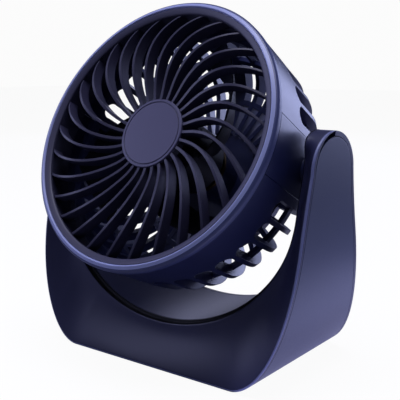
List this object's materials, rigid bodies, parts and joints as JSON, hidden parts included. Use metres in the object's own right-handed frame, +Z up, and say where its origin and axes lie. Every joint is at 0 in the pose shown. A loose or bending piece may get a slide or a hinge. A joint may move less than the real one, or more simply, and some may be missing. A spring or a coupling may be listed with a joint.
{
  "type": "desk fan",
  "caption": "Small tilting desk fan: a round louvred fan head with spiral grille ribs and a slotted rear housing, hung between the arms of a tapered U-shaped cradle base.",
  "frame": {"origin": "on the surface the fan stands on, straight below the middle of the tilt axis", "axes": "+Z up, -Y towards the front that the fan blows to, +X towards the right arm seen from the front"},
  "size_m": [0.1642, 0.1171, 0.1822],
  "materials": {
    "acetal_white": "machined",
    "black_plastic": "moulded",
    "blade_navy": "satin",
    "board_green": "solder mask",
    "brass": "turned",
    "clear_light": "clear",
    "copper": "enamelled wire",
    "disc_violet": "smooth matte",
    "grille_navy": "satin",
    "head_navy": "fine moulded texture",
    "laminations": "laminated",
    "magnet": "ferrite",
    "rubber": "matte",
    "shell_navy": "fine moulded texture",
    "steel": "plated",
    "trim_blue": "satin bevel"
  },
  "bodies": {
    "base": {"ballast_weight": "steel", "bottom_plate": "shell_navy", "bottom_screws": "steel", "control_board": "board_green", "foot_pad": "rubber", "front_panel": "shell_navy", "light_pipe": "clear_light", "pivot_bush_left": "acetal_white", "pivot_bush_right": "acetal_white", "rear_panel": "shell_navy", "side_cover_left": "shell_navy", "side_cover_right": "shell_navy", "socket_saddle": "black_plastic", "socket_tongue": "black_plastic", "tact_switch": "black_plastic", "trough_liner": "shell_navy", "usb_socket": "steel"},
    "head": {"friction_washer_left": "steel", "friction_washer_right": "steel", "front_bearing": "steel", "front_grille": "grille_navy", "grille_cap": "disc_violet", "motor_base": "brass", "motor_board": "board_green", "motor_screws": "steel", "pivot_pin_left": "steel", "pivot_pin_right": "steel", "rear_bearing": "steel", "rear_cap": "head_navy", "rear_housing": "head_navy", "side_panel_left": "head_navy", "side_panel_right": "head_navy", "stator_coils": "copper", "stator_core": "laminations", "trim_ring": "trim_blue"},
    "impeller": {"impeller": "blade_navy", "motor_shaft": "steel", "rotor_magnet": "magnet", "shaft_clip": "steel"},
    "button": {"speed_button": "shell_navy"}
  },
  "joints": [
    {"name": "head_tilt", "type": "hinge", "parent": "base", "child": "head", "pos_m": [0, 0, 0.1024], "axis": [-1, 0, 0], "range_deg": [-30, 33]},
    {"name": "impeller_spin", "type": "hinge", "parent": "head", "child": "impeller", "pos_m": [0, 0, 0.1024], "axis": [0, -0.891, 0.454], "continuous": true},
    {"name": "button_press", "type": "slide", "parent": "base", "child": "button", "axis": [0, -0.9162, -0.4006], "range_m": [0, 0.0008], "stiffness_N_per_m": 1200, "springref_m": -0.0004}
  ]
}
